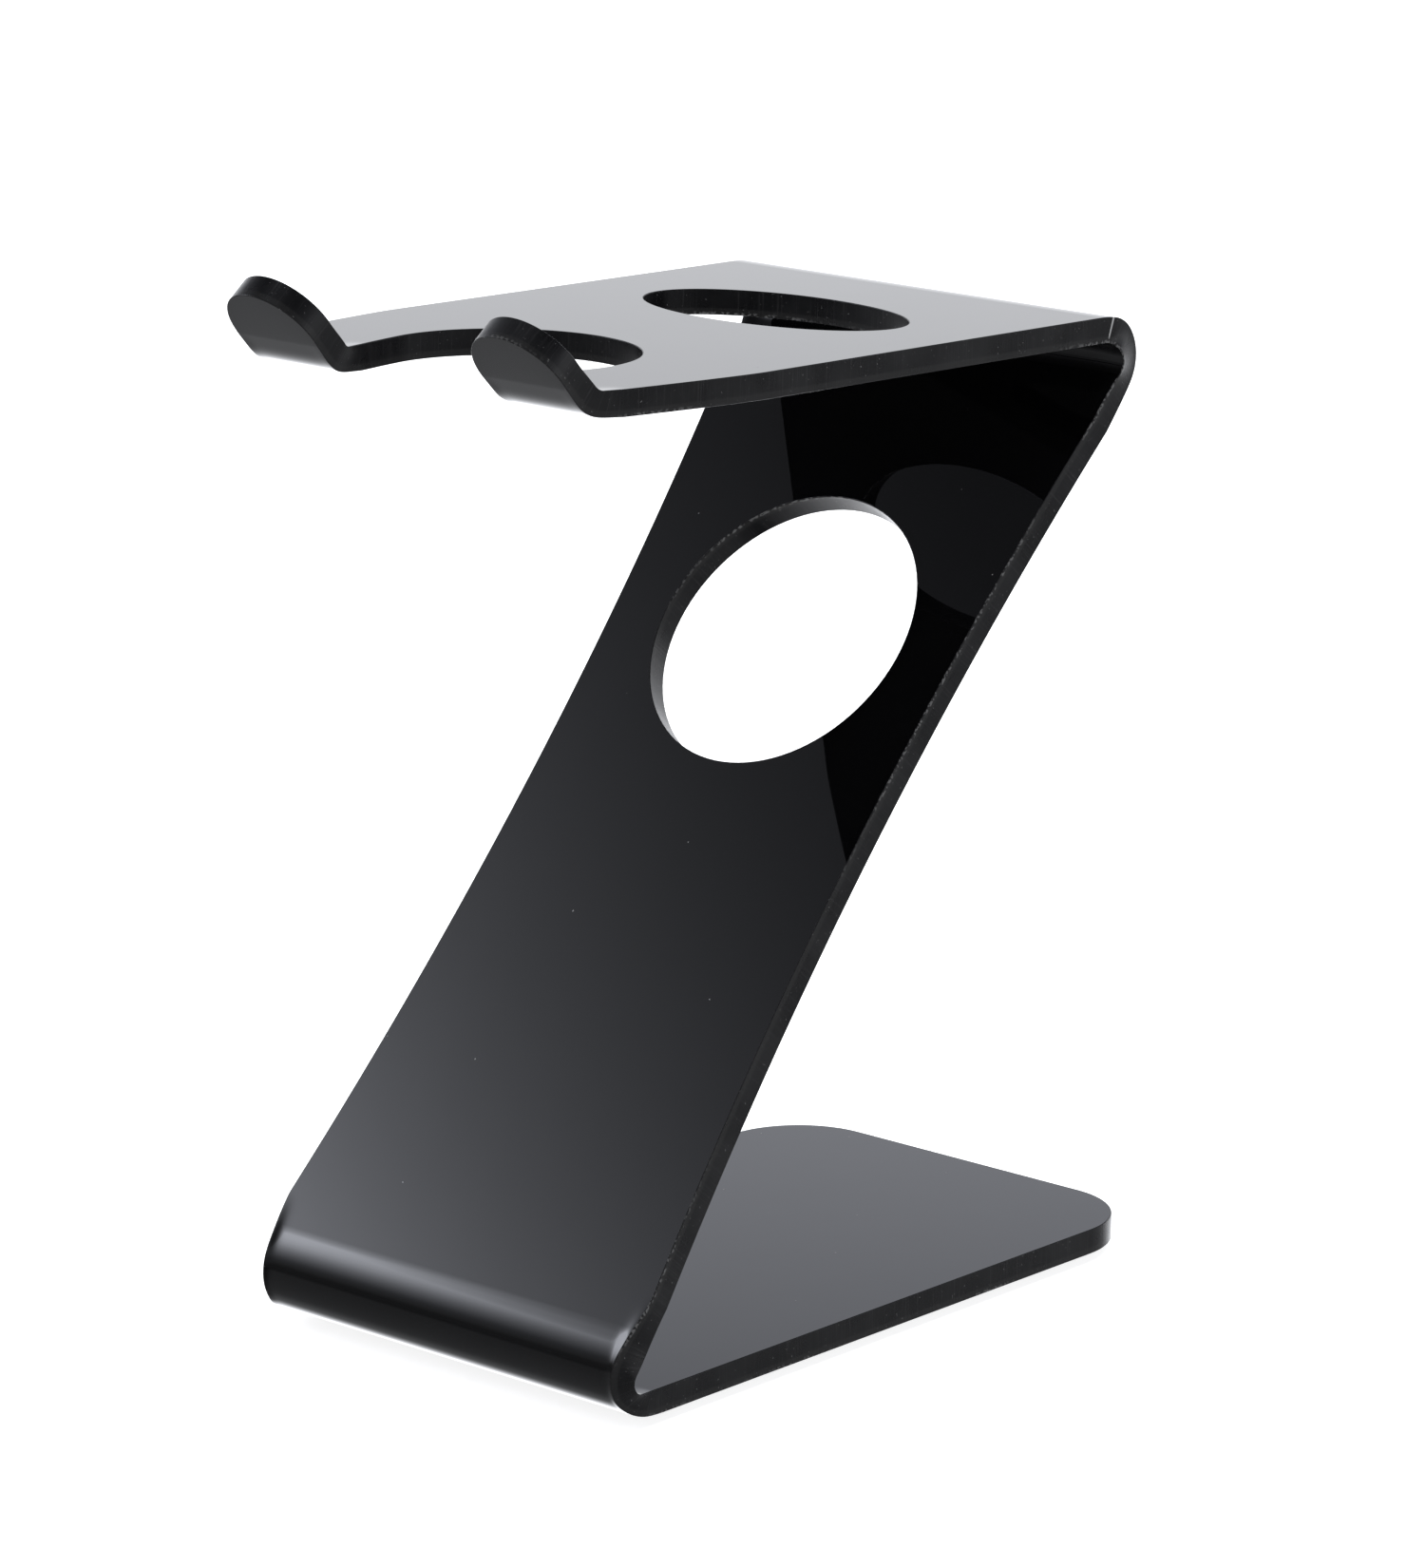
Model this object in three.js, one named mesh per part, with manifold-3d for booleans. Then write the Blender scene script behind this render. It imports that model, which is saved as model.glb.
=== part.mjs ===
// Hair dryer holder: one acrylic sheet, cut flat and folded three times into a Z with a forked
// shelf, standing on four self-adhesive pads. Millimetres, +Z up, +X across the width, -Y to the
// front where the two upturned fingers are. The origin is the bottom centre of the whole holder.
import * as THREE from "three";
import { mergeVertices } from "three/addons/utils/BufferGeometryUtils.js";
import Module from "manifold-3d";

// ---- Driving dimensions, in millimetres and degrees ----------------------------------------

const SHEET_THICKNESS = 5;
const SHEET_WIDTH = 94;

// Panel lengths run between the sharp corners that the underside would have without its bends.
const BASE_LENGTH = 164;
const SLANT_LENGTH = 238;
const SHELF_LENGTH = 146;
const LIP_LENGTH = 19.4;

const SLANT_ANGLE = 49.3; // of the slanted plate above the horizontal
const SHELF_RISE = 1.8; // the shelf climbs slightly towards the front
const LIP_ANGLE = 51.5; // of the fingers above the horizontal

// A hot bend stretches the outside of the sheet, so its outer radius isn't the inner one plus
// the thickness. The order is lower bend, upper bend, lip bend.
const BEND_OUTER_RADII = [8.9, 8.6, 7.5];
const BEND_INNER_RADII = [2.5, 4, 2.5];

const BASE_CORNER_RADIUS = 18;
const SLANT_WAIST_DEPTH = 5.3; // how far each side curves in
const SLANT_WAIST_LENGTH = 190;
const SLANT_WAIST_CENTRE = 125; // along the slanted plate
const BACK_HOLE_RADIUS = 29.5;
const BACK_HOLE_CENTRE = 164.7;

const SHELF_HOLE_HALF_WIDTH = 29.8;
const SHELF_HOLE_HALF_LENGTH = 17.4;
const SHELF_HOLE_CENTRE = 50.2; // along the shelf
const SHELF_TAPER_START = 105;
const SHELF_TAPER_EASE = 8; // how far the taper's curve takes to turn in
const NOTCH_RADIUS = 24.4;
const NOTCH_CENTRE = 123;
const NOTCH_WRAP = 8; // degrees that the notch's round end runs on past its widest point
const NOTCH_EASE = 8; // how far its sides carry straight on before they bend to the fingers

const FINGER_RADIUS = 10.4; // of the round finger tips
const FINGER_OFFSET = 30.8; // centre plane of the holder to the centre line of a finger
const FINGER_FLARE = 0.5; // how much further out a finger's outer edge is at its root

const PAD_RADIUS = 5;
const PAD_HEIGHT = 1.5;
const PAD_EDGE = 0.4; // chamfer round the pad's two rims
const TAPE_RADIUS = 4.6;
const TAPE_THICKNESS = 0.5;
const PAD_SIDE_INSET = 16; // pad centre to the side edge of the sheet
const PAD_REAR_INSET = 18; // rear pad centre to the rear edge
const PAD_FRONT_INSET = 28; // front pad centre to the corner of the lower bend

const BEND_SEGMENTS = 8;
const OUTLINE_SEGMENTS = 16;
const HOLE_SEGMENTS = 36;
const PAD_SEGMENTS = 36;
const CUT_DEPTH = 30; // of every cutter, across the sheet
const CLEAR = 4; // how far a cutter runs past the edge it trims

// ---- The folded side profile ---------------------------------------------------------------

const FINGER_INNER = FINGER_OFFSET - FINGER_RADIUS;
const FINGER_OUTER = FINGER_OFFSET + FINGER_RADIUS;
const FINGER_ROOT = FINGER_OUTER + FINGER_FLARE;
const HALF_WIDTH = SHEET_WIDTH / 2;

function direction(degrees) {
  const angle = THREE.MathUtils.degToRad(degrees);
  return new THREE.Vector2(Math.cos(angle), Math.sin(angle));
}

// The panels in the (y, z) plane, from the rear edge of the base to the finger tips. Each starts
// at its corner of the underside and heads along it, with the material always on the right.
const panel = {
  base: { corner: new THREE.Vector2(0, 0), heading: 180, length: BASE_LENGTH },
  slant: { heading: SLANT_ANGLE, length: SLANT_LENGTH },
  shelf: { heading: 180 - SHELF_RISE, length: SHELF_LENGTH },
  lip: { heading: 180 - LIP_ANGLE, length: LIP_LENGTH },
};
const panels = Object.values(panel);

function farEnd({ corner, heading, length }) {
  return direction(heading).multiplyScalar(length).add(corner);
}

panels.slice(1).forEach((next, i) => {
  next.corner = farEnd(panels[i]);
});

// The upper side's corner over the start of a panel, mitred where the panel before it ends.
function upperCorner(i) {
  const { corner, heading } = panels[i];
  const before = i > 0 ? panels[i - 1].heading : heading;
  const mitre = Math.tan(THREE.MathUtils.degToRad(heading - before) / 2);
  return direction(before)
    .multiplyScalar(mitre * SHEET_THICKNESS)
    .add(direction(before - 90).multiplyScalar(SHEET_THICKNESS))
    .add(corner);
}

// Rounds a corner of the profile with an arc tangent to both of its sides.
function roundCorner(profile, before, corner, after, radius) {
  const back = before.clone().sub(corner).normalize();
  const ahead = after.clone().sub(corner).normalize();
  const half = back.angleTo(ahead) / 2;
  const middle = back.clone().add(ahead).normalize();
  const centre = middle.multiplyScalar(radius / Math.sin(half)).add(corner);
  const reach = radius / Math.tan(half);
  const from = back.multiplyScalar(reach).add(corner);
  const start = from.clone().sub(centre);
  const end = ahead.multiplyScalar(reach).add(corner).sub(centre);
  profile.lineTo(from.x, from.y);
  profile.absarc(centre.x, centre.y, radius, start.angle(), end.angle(), start.cross(end) < 0);
}

// Out along the underside to the finger tips, and back along the upper side.
function sideProfile() {
  const tip = farEnd(panel.lip);
  const under = [...panels.map((p) => p.corner), tip];
  const upper = panels.map((p, i) => upperCorner(i));
  upper.push(direction(panel.lip.heading - 90).multiplyScalar(SHEET_THICKNESS).add(tip));
  const underRadii = [BEND_OUTER_RADII[0], BEND_INNER_RADII[1], BEND_OUTER_RADII[2]];
  const upperRadii = [BEND_INNER_RADII[0], BEND_OUTER_RADII[1], BEND_INNER_RADII[2]];
  const profile = new THREE.Shape();
  profile.moveTo(under[0].x, under[0].y);
  for (const i of [1, 2, 3]) {
    roundCorner(profile, under[i - 1], under[i], under[i + 1], underRadii[i - 1]);
  }
  profile.lineTo(tip.x, tip.y);
  profile.lineTo(upper[4].x, upper[4].y);
  for (const i of [3, 2, 1]) {
    roundCorner(profile, upper[i + 1], upper[i], upper[i - 1], upperRadii[i - 1]);
  }
  profile.lineTo(upper[0].x, upper[0].y);
  profile.closePath();
  return profile;
}

// ---- Solids --------------------------------------------------------------------------------

const wasm = await Module();
wasm.setup();

function solidFrom(geometry) {
  geometry.deleteAttribute("normal");
  geometry.deleteAttribute("uv");
  const merged = mergeVertices(geometry, 1e-5);
  const vertProperties = new Float32Array(merged.attributes.position.array);
  const triVerts = new Uint32Array(merged.index.array);
  return new wasm.Manifold(new wasm.Mesh({ numProp: 3, vertProperties, triVerts }));
}

function geometryFrom(solid) {
  const mesh = solid.getMesh();
  const geometry = new THREE.BufferGeometry();
  geometry.setAttribute("position", new THREE.BufferAttribute(mesh.vertProperties, 3));
  geometry.setIndex(new THREE.BufferAttribute(mesh.triVerts, 1));
  const flatShaded = geometry.toNonIndexed();
  flatShaded.computeVertexNormals();
  return flatShaded;
}

// A cutter whose outline is drawn on one flat panel: x across the holder, y along the panel.
function panelCutter(name, outline, curveSegments) {
  const { corner, heading } = panel[name];
  const along = direction(heading);
  const across = new THREE.Vector3(1, 0, 0);
  const ahead = new THREE.Vector3(0, along.x, along.y);
  const through = new THREE.Vector3().crossVectors(across, ahead);
  const geometry = new THREE.ExtrudeGeometry(outline, {
    depth: CUT_DEPTH,
    curveSegments,
    bevelEnabled: false,
  });
  geometry.translate(0, 0, -CUT_DEPTH / 2);
  const basis = new THREE.Matrix4().makeBasis(across, ahead, through);
  basis.setPosition(0, corner.x, corner.y);
  return solidFrom(geometry.applyMatrix4(basis));
}

function mirrored(outline) {
  const points = outline.getPoints(OUTLINE_SEGMENTS).map((p) => new THREE.Vector2(-p.x, p.y));
  return new THREE.Shape(points.reverse());
}

function ellipse(halfWidth, halfLength, centre) {
  return new THREE.Shape().absellipse(0, centre, halfWidth, halfLength, 0, 2 * Math.PI);
}

// The waist: a long shallow arc that takes a circular segment off the right side of the slant.
function waistOutline() {
  const halfChord = SLANT_WAIST_LENGTH / 2;
  const radius = (halfChord ** 2 + SLANT_WAIST_DEPTH ** 2) / (2 * SLANT_WAIST_DEPTH);
  const centreX = HALF_WIDTH - SLANT_WAIST_DEPTH + radius;
  const reach = Math.acos((centreX - HALF_WIDTH - CLEAR) / radius);
  const outline = new THREE.Shape();
  outline.absarc(centreX, SLANT_WAIST_CENTRE, radius, Math.PI - reach, Math.PI + reach);
  return outline;
}

// What is cut from outside the right rear corner of the base.
function baseCornerOutline() {
  const inner = HALF_WIDTH - BASE_CORNER_RADIUS;
  const outline = new THREE.Shape();
  outline.moveTo(inner, -CLEAR);
  outline.lineTo(HALF_WIDTH + CLEAR, -CLEAR);
  outline.lineTo(HALF_WIDTH + CLEAR, BASE_CORNER_RADIUS);
  outline.absarc(inner, BASE_CORNER_RADIUS, BASE_CORNER_RADIUS, 0, -Math.PI / 2, true);
  return outline;
}

// The throat between the fingers: round at the back, then narrowing towards the mouth.
function notchOutline() {
  const mouth = SHELF_LENGTH;
  const wrap = THREE.MathUtils.degToRad(NOTCH_WRAP);
  const widest = NOTCH_RADIUS * Math.cos(wrap);
  const roundEnd = NOTCH_CENTRE + NOTCH_RADIUS * Math.sin(wrap);
  const bendX = widest - NOTCH_EASE * Math.sin(wrap);
  const bendY = roundEnd + NOTCH_EASE * Math.cos(wrap);
  const outline = new THREE.Shape();
  outline.absarc(0, NOTCH_CENTRE, NOTCH_RADIUS, Math.PI - wrap, wrap);
  outline.quadraticCurveTo(bendX, bendY, FINGER_INNER, mouth);
  outline.lineTo(FINGER_INNER, mouth + 2 * CLEAR);
  outline.lineTo(-FINGER_INNER, mouth + 2 * CLEAR);
  outline.lineTo(-FINGER_INNER, mouth);
  outline.quadraticCurveTo(-bendX, bendY, -widest, roundEnd);
  return outline;
}

// What is cut from outside the right edge of the shelf, where it tapers towards the finger.
function shelfTaperOutline() {
  const root = SHELF_LENGTH;
  const ease = SHELF_TAPER_START + SHELF_TAPER_EASE;
  const outline = new THREE.Shape();
  outline.moveTo(HALF_WIDTH, SHELF_TAPER_START);
  outline.quadraticCurveTo(HALF_WIDTH, ease, FINGER_ROOT, root);
  outline.lineTo(FINGER_ROOT, root + 2 * CLEAR);
  outline.lineTo(HALF_WIDTH + CLEAR, root + 2 * CLEAR);
  outline.lineTo(HALF_WIDTH + CLEAR, SHELF_TAPER_START);
  return outline;
}

// Everything of the upturned lip that isn't one of the two round-ended fingers.
function fingerOutline() {
  const tipCentre = LIP_LENGTH - FINGER_RADIUS;
  const beyond = LIP_LENGTH + CLEAR;
  const outside = HALF_WIDTH + CLEAR;
  const outline = new THREE.Shape();
  outline.moveTo(outside, 0);
  outline.lineTo(outside, beyond);
  outline.lineTo(-outside, beyond);
  outline.lineTo(-outside, 0);
  outline.lineTo(-FINGER_ROOT, 0);
  outline.lineTo(-FINGER_OUTER, tipCentre);
  outline.absarc(-FINGER_OFFSET, tipCentre, FINGER_RADIUS, Math.PI, 0, true);
  outline.lineTo(-FINGER_INNER, 0);
  outline.lineTo(FINGER_INNER, 0);
  outline.lineTo(FINGER_INNER, tipCentre);
  outline.absarc(FINGER_OFFSET, tipCentre, FINGER_RADIUS, Math.PI, 0, true);
  outline.lineTo(FINGER_ROOT, 0);
  return outline;
}

function acrylicSheet() {
  const geometry = new THREE.ExtrudeGeometry(sideProfile(), {
    depth: SHEET_WIDTH,
    curveSegments: BEND_SEGMENTS,
    bevelEnabled: false,
  });
  geometry.translate(0, 0, -SHEET_WIDTH / 2);
  const yAxis = new THREE.Vector3(0, 1, 0);
  const zAxis = new THREE.Vector3(0, 0, 1);
  const xAxis = new THREE.Vector3(1, 0, 0);
  geometry.applyMatrix4(new THREE.Matrix4().makeBasis(yAxis, zAxis, xAxis));

  const backHole = ellipse(BACK_HOLE_RADIUS, BACK_HOLE_RADIUS, BACK_HOLE_CENTRE);
  const shelfHole = ellipse(SHELF_HOLE_HALF_WIDTH, SHELF_HOLE_HALF_LENGTH, SHELF_HOLE_CENTRE);
  let sheet = solidFrom(geometry);
  for (const [name, outline, segments] of [
    ["base", baseCornerOutline(), OUTLINE_SEGMENTS],
    ["base", mirrored(baseCornerOutline()), OUTLINE_SEGMENTS],
    ["slant", waistOutline(), OUTLINE_SEGMENTS],
    ["slant", mirrored(waistOutline()), OUTLINE_SEGMENTS],
    ["slant", backHole, HOLE_SEGMENTS],
    ["shelf", shelfHole, HOLE_SEGMENTS],
    ["shelf", notchOutline(), OUTLINE_SEGMENTS],
    ["shelf", shelfTaperOutline(), OUTLINE_SEGMENTS],
    ["shelf", mirrored(shelfTaperOutline()), OUTLINE_SEGMENTS],
    ["lip", fingerOutline(), OUTLINE_SEGMENTS],
  ]) {
    sheet = sheet.subtract(panelCutter(name, outline, segments));
  }
  return geometryFrom(sheet);
}

// A soft round pad with both rims chamfered, standing on its own origin.
function padGeometry() {
  const profile = [
    new THREE.Vector2(0, 0),
    new THREE.Vector2(PAD_RADIUS - PAD_EDGE, 0),
    new THREE.Vector2(PAD_RADIUS, PAD_EDGE),
    new THREE.Vector2(PAD_RADIUS, PAD_HEIGHT - PAD_EDGE),
    new THREE.Vector2(PAD_RADIUS - PAD_EDGE, PAD_HEIGHT),
    new THREE.Vector2(0, PAD_HEIGHT),
  ];
  return new THREE.LatheGeometry(profile, PAD_SEGMENTS).rotateX(Math.PI / 2);
}

function tapeGeometry() {
  const disc = new THREE.CylinderGeometry(TAPE_RADIUS, TAPE_RADIUS, TAPE_THICKNESS, PAD_SEGMENTS);
  return disc.rotateX(Math.PI / 2);
}

// ---- The holder ----------------------------------------------------------------------------

const acrylicMaterial = new THREE.MeshStandardMaterial({ color: 0x0b0c0e, roughness: 0.06 });
const padMaterial = new THREE.MeshStandardMaterial({ color: 0x17181a, roughness: 0.75 });
const tapeMaterial = new THREE.MeshStandardMaterial({ color: 0xb9b8b2, roughness: 0.6 });

const sheetGeometry = acrylicSheet();
sheetGeometry.computeBoundingBox();
const sheetBox = sheetGeometry.boundingBox;
const sheetLift = PAD_HEIGHT + TAPE_THICKNESS;
const middleY = (sheetBox.min.y + sheetBox.max.y) / 2;

const holder = new THREE.Group();
const sheet = new THREE.Mesh(sheetGeometry, acrylicMaterial);
sheet.name = "acrylic_sheet";
sheet.position.set(0, -middleY, sheetLift - sheetBox.min.z);
holder.add(sheet);

const padX = HALF_WIDTH - PAD_SIDE_INSET;
const padRearY = -PAD_REAR_INSET - middleY;
const padFrontY = PAD_FRONT_INSET - BASE_LENGTH - middleY;
for (const [corner, x, y] of [
  ["front_left", -padX, padFrontY],
  ["front_right", padX, padFrontY],
  ["rear_left", -padX, padRearY],
  ["rear_right", padX, padRearY],
]) {
  const foot = new THREE.Group();
  foot.position.set(x, y, 0);
  const pad = new THREE.Mesh(padGeometry(), padMaterial);
  pad.name = `foot_pad_${corner}`;
  const tape = new THREE.Mesh(tapeGeometry(), tapeMaterial);
  tape.name = `foot_tape_${corner}`;
  tape.position.z = PAD_HEIGHT + TAPE_THICKNESS / 2;
  foot.add(pad, tape);
  holder.add(foot);
}

export default holder;
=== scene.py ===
"""The visual model of the hair dryer holder: one black acrylic sheet, cut flat and bent hot, on
four stick-on feet, in a studio. The sheet's and feet's lengths are in millimetres until their
meshes are made. Meshes and the studio are in metres."""

import math

import bpy
import numpy as np
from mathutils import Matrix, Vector
from mathutils.geometry import delaunay_2d_cdt


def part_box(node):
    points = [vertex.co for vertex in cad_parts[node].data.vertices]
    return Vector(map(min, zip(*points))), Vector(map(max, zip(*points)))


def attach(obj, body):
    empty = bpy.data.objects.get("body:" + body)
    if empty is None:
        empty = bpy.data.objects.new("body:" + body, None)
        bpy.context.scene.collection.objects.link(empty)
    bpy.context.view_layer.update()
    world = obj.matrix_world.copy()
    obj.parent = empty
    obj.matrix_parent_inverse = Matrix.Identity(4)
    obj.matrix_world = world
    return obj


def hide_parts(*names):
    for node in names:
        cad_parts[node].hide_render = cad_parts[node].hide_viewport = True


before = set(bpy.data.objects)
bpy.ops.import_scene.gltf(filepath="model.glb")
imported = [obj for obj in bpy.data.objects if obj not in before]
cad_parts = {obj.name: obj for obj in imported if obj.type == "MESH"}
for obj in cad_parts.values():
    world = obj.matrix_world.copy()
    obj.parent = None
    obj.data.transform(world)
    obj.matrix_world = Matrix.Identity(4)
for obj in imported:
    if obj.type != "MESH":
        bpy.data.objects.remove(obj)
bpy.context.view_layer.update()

MM = 0.001

# ---- Driving dimensions, the same as the CAD's -------------------------------------------------

THICKNESS = 5.0
HALF_WIDTH = 47.0
BASE_LENGTH = 164.0
SLANT_LENGTH = 238.0
SHELF_LENGTH = 146.0
LIP_LENGTH = 19.4
SLANT_ANGLE = 49.3
SHELF_RISE = 1.8
LIP_ANGLE = 51.5
BASE_CORNER_RADIUS = 18.0
WAIST_DEPTH = 5.3
WAIST_LENGTH = 190.0
WAIST_CENTRE = 125.0
BACK_HOLE_RADIUS = 29.5
BACK_HOLE_CENTRE = 164.7
SHELF_HOLE_RADII = (29.8, 17.4)
SHELF_HOLE_CENTRE = 50.2
TAPER_START = 105.0
TAPER_EASE = 8.0
NOTCH_RADIUS = 24.4
NOTCH_CENTRE = 123.0
NOTCH_WRAP = math.radians(8.0)
NOTCH_EASE = 8.0
FINGER_RADIUS = 10.4
FINGER_OFFSET = 30.8
FINGER_FLARE = 0.5
FINGER_INNER = FINGER_OFFSET - FINGER_RADIUS
FINGER_OUTER = FINGER_OFFSET + FINGER_RADIUS
FINGER_ROOT = FINGER_OUTER + FINGER_FLARE

# ---- What only the visual model has ------------------------------------------------------------

EDGE_ROUND = 0.18  # the arris between a polished face and a cut edge
NECK_IN = [1.9, 0.4, 0.55]  # how far a bend's outer face draws in at each end, per bend
BULGE_OUT = [0.55, 1.35, 0.25]  # how far its inner face swells out
END_CURL = [0.23, 0.22, 0.08]  # how far the outer face curls outwards at its ends
END_LUMP = [0.35, 0.35, 0.15]  # how far the inner face lifts at its ends
# How far in from a side each of those effects fades.
STRETCH_FADE = 3.5
CURL_FADE = 1.7
LUMP_FADE = 2.6
# Where the drawn-in stretch starts, is full, starts to ease and ends, as shares of the bend.
STRAIN = [(0.16, 0.5, 0.6, 1.35), (-0.35, 0.4, 0.5, 0.84), (-0.1, 0.45, 0.55, 1.1)]

# ---- The side profile --------------------------------------------------------------------------


def heading(degrees):
    angle = math.radians(degrees)
    return np.array([math.cos(angle), math.sin(angle)])


def right_of(direction):
    return np.array([direction[1], -direction[0]])


HEADINGS = [180.0, SLANT_ANGLE, 180.0 - SHELF_RISE, 180.0 - LIP_ANGLE]
LENGTHS = [BASE_LENGTH, SLANT_LENGTH, SHELF_LENGTH, LIP_LENGTH]
AHEAD = [heading(h) for h in HEADINGS]
CORNERS = [np.zeros(2)]
for ahead, length in zip(AHEAD[:-1], LENGTHS[:-1]):
    CORNERS.append(CORNERS[-1] + ahead * length)


def smoothstep(low, high, value):
    t = np.clip((value - low) / (high - low), 0, 1)
    return t * t * (3 - 2 * t)


class BendCurve:
    """One face's way round a bend, from the origin along the first axis and turning towards the
    second. It has a slight crease at each end of the heated strip, then a flat stretch, and then
    the curvature eases in up to the tightest radius."""

    def __init__(self, turn, radius, ease, crease=0.0, flat=0.0):
        crease = math.radians(crease)
        self.length = (turn - 2 * crease) * radius + ease + 2 * flat
        self.travelled = np.linspace(0, self.length, 601)
        easing_in = smoothstep(flat, flat + ease, self.travelled)
        easing_out = smoothstep(self.length - flat - ease, self.length - flat, self.travelled)
        self.turned = self.summed((easing_in - easing_out) / radius) + crease
        self.ahead = self.summed(np.cos(self.turned))
        self.inward = self.summed(np.sin(self.turned))
        # From the start to the corner where the two straight stretches would meet.
        self.reach = self.ahead[-1] - self.inward[-1] / math.tan(turn)

    def summed(self, rate):
        steps = (rate[1:] + rate[:-1]) / 2 * np.diff(self.travelled)
        return np.concatenate([[0.0], np.cumsum(steps)])

    def at(self, travelled):
        ahead = np.interp(travelled, self.travelled, self.ahead)
        return ahead, np.interp(travelled, self.travelled, self.inward)


class Bend:
    """One hot bend. The underside is side 0 and the upper side is side 1 of the sheet."""

    def __init__(self, index, outer, inner):
        self.index = index
        self.before, self.after = AHEAD[index], AHEAD[index + 1]
        turn = math.radians(HEADINGS[index + 1] - HEADINGS[index])
        mitre = math.tan(turn / 2) * THICKNESS
        corner = CORNERS[index + 1]
        upper = corner + right_of(self.before) * THICKNESS + self.before * mitre
        self.corners = [corner, upper]
        self.outer_side = 0 if turn < 0 else 1
        inner_side = 1 - self.outer_side
        self.inward = right_of(self.before) * (1 if turn < 0 else -1)
        self.curves = [BendCurve(abs(turn), *outer), BendCurve(abs(turn), *inner)]
        if self.outer_side == 1:
            self.curves.reverse()
        inner_shift = abs(mitre)
        inner_zone = self.curves[inner_side].reach + inner_shift
        zone = max(self.curves[self.outer_side].reach, inner_zone)
        self.zones = [zone, zone]
        self.zones[inner_side] = zone - inner_shift
        # How far the zone reaches along each panel, from the underside's corner.
        self.panel_reach = self.zones[0]
        self.length = sum(self.side_length(side) for side in (0, 1)) / 2

    def side_length(self, side):
        straight = self.zones[side] - self.curves[side].reach
        return 2 * straight + self.curves[side].length

    def point(self, side, share):
        """Points of one side of the sheet, share of the way through the bend."""
        curve = self.curves[side]
        straight = self.zones[side] - curve.reach
        travelled = share * self.side_length(side)
        start = self.corners[side] - self.before * self.zones[side]
        ahead, inward = curve.at(np.maximum(travelled - straight, 0))
        ahead = ahead + np.minimum(travelled, straight)
        into = start + np.outer(ahead, self.before) + np.outer(inward, self.inward)
        beyond = np.maximum(travelled - straight - curve.length, 0)
        return into + np.outer(beyond, self.after)


# Each bend's outer and inner faces: tightest radius, easing, crease in degrees, flat stretch.
BENDS = [
    Bend(0, (8.39, 7.56, 2.0), (2.43, 2.0)),
    Bend(1, (8.27, 5.61, 2.0), (3.93, 2.5)),
    Bend(2, (5.5, 7.0, 3.5, 2.2), (2.38, 1.0)),
]

# The sheet's own lengthways coordinate, "run", is 0 at the base's rear edge and goes through the
# bends. PANEL_RUN turns a distance from a panel's underside corner into it.
PANEL_RUN = [0.0]
BEND_RUNS = []
for bend in BENDS:
    panel_end = PANEL_RUN[-1] + LENGTHS[bend.index] - bend.panel_reach
    BEND_RUNS.append((panel_end, panel_end + bend.length))
    PANEL_RUN.append(panel_end + bend.length - bend.panel_reach)


def profile_point(side, run):
    """(y, z) of one side of the bent sheet at each run, before the bends' ends draw in."""
    found = np.zeros((len(run), 2))
    starts = [-1e9] + [end for _, end in BEND_RUNS]
    ends = [start for start, _ in BEND_RUNS] + [1e9]
    for panel in range(4):
        here = (run >= starts[panel]) & (run <= ends[panel])
        origin = CORNERS[panel] + right_of(AHEAD[panel]) * THICKNESS * side
        found[here] = origin + np.outer(run[here] - PANEL_RUN[panel], AHEAD[panel])
    for bend, (start, end) in zip(BENDS, BEND_RUNS):
        here = (run > start) & (run < end)
        found[here] = bend.point(side, (run[here] - start) / (end - start))
    return found


# ---- Outlines of the cut sheet -----------------------------------------------------------------


def arc(centre, radii, first, last, steps):
    """Points of a circle or ellipse's arc, between two angles in degrees."""
    angle = np.radians(np.linspace(first, last, steps + 1))
    return np.column_stack([np.cos(angle), np.sin(angle)]) * radii + centre


def quadratic(start, control, end, steps):
    t = np.linspace(0, 1, steps + 1)[:, None]
    return (
        (1 - t) ** 2 * np.array(start) + 2 * t * (1 - t) * np.array(control) + t**2 * np.array(end)
    )


SHELF_RUN = PANEL_RUN[2]
LIP_RUN = PANEL_RUN[3]
ROOT_RUN = SHELF_RUN + SHELF_LENGTH - BENDS[2].panel_reach  # where the lip bend starts
FINGER_RUN = ROOT_RUN - 14.0  # where the two sides of a finger start to count as its own ends
TIP_CENTRE_RUN = LIP_RUN + LIP_LENGTH - FINGER_RADIUS


def throat_side():
    """Right side of the throat, from its round end to the lip bend, as (across, run)."""
    widest = NOTCH_RADIUS * math.cos(NOTCH_WRAP)
    round_end = NOTCH_CENTRE + NOTCH_RADIUS * math.sin(NOTCH_WRAP)
    bend_x = widest - NOTCH_EASE * math.sin(NOTCH_WRAP)
    bend_y = round_end + NOTCH_EASE * math.cos(NOTCH_WRAP)
    side = quadratic((widest, round_end), (bend_x, bend_y), (FINGER_INNER, SHELF_LENGTH), 24)
    return side + [0, SHELF_RUN]


def taper_side():
    """Right edge of the shelf where it tapers, as (across, run)."""
    side = quadratic(
        (HALF_WIDTH, TAPER_START),
        (HALF_WIDTH, TAPER_START + TAPER_EASE),
        (FINGER_ROOT, SHELF_LENGTH),
        24,
    )
    return side + [0, SHELF_RUN]


THROAT = throat_side()
TAPER = taper_side()


def finger_inner(run):
    return np.interp(run, THROAT[:, 1], THROAT[:, 0])


def finger_outer(run):
    outer = np.interp(run, TAPER[:, 1], TAPER[:, 0])
    lip_start = SHELF_RUN + SHELF_LENGTH
    narrowed = np.interp(run, [lip_start, TIP_CENTRE_RUN], [FINGER_ROOT, FINGER_OUTER])
    return np.where(run > lip_start, narrowed, outer)


# ---- From the flat sheet to the bent one -------------------------------------------------------


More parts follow.
